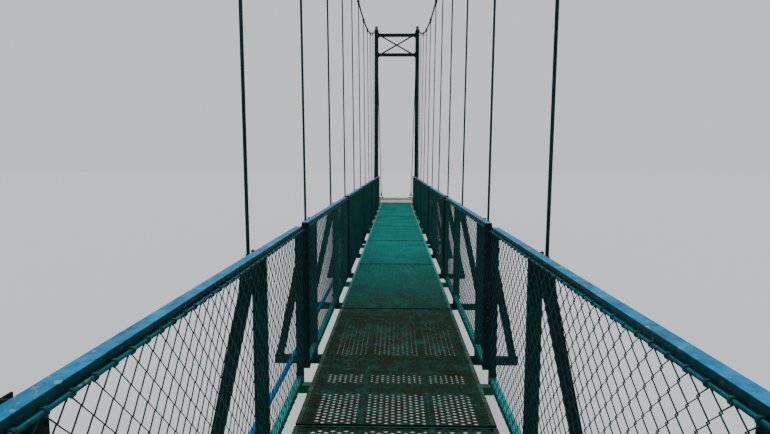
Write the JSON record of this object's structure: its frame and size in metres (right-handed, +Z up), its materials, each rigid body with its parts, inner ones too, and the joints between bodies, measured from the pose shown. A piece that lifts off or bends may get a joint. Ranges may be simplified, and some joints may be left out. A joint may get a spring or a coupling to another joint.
{
  "type": "wire-hung suspension footbridge",
  "caption": "Narrow suspension footbridge: grated steel deck between mesh fences, hung from two cables over end portals.",
  "frame": {"origin": "centre of the footprint at ground level, under the middle of the walkway", "axes": "+X across the walkway to the right of someone walking towards +Y, +Y along the walkway, +Z up"},
  "size_m": [2.5, 38.9914, 8.5184],
  "materials": {
    "rail_paint": "gloss, weathered",
    "frame_paint": "satin, weathered",
    "deck_paint": "worn, dirty",
    "cable_paint": "painted wire rope and rod",
    "mesh_wire": "coated wire",
    "casting": "rough cast, weathered",
    "concrete": "board-marked, stained"
  },
  "bodies": {
    "root": {"deck_panel_1": "deck_paint", "deck_panel_2": "deck_paint", "deck_panel_3": "deck_paint", "deck_panel_4": "deck_paint", "deck_panel_5": "deck_paint", "deck_panel_6": "deck_paint", "side_panel_left_1": "rail_paint", "side_panel_left_2": "rail_paint", "side_panel_left_3": "rail_paint", "side_panel_left_4": "rail_paint", "side_panel_left_5": "rail_paint", "side_panel_left_6": "rail_paint", "side_panel_right_1": "rail_paint", "side_panel_right_2": "rail_paint", "side_panel_right_3": "rail_paint", "side_panel_right_4": "rail_paint", "side_panel_right_5": "rail_paint", "side_panel_right_6": "rail_paint", "cross_frame_01": "frame_paint", "cross_frame_02": "frame_paint", "cross_frame_03": "frame_paint", "cross_frame_04": "frame_paint", "cross_frame_05": "frame_paint", "cross_frame_06": "frame_paint", "cross_frame_07": "frame_paint", "cross_frame_08": "frame_paint", "cross_frame_09": "frame_paint", "cross_frame_10": "frame_paint", "cross_frame_11": "frame_paint", "cross_frame_12": "frame_paint", "main_cable_left": "cable_paint", "main_cable_right": "cable_paint", "backstay_near_left": "cable_paint", "backstay_near_right": "cable_paint", "backstay_far_left": "cable_paint", "backstay_far_right": "cable_paint", "saddle_near_left": "casting", "saddle_near_right": "casting", "saddle_far_left": "casting", "saddle_far_right": "casting", "portal_leg_near_left": "frame_paint", "portal_leg_near_right": "frame_paint", "portal_leg_far_left": "frame_paint", "portal_leg_far_right": "frame_paint", "portal_head_near": "frame_paint", "portal_head_far": "frame_paint", "abutment_near": "concrete", "abutment_far": "concrete", "anchor_block_near": "concrete", "anchor_block_far": "concrete", "edge_tube_left": "rail_paint"}
  },
  "joints": []
}
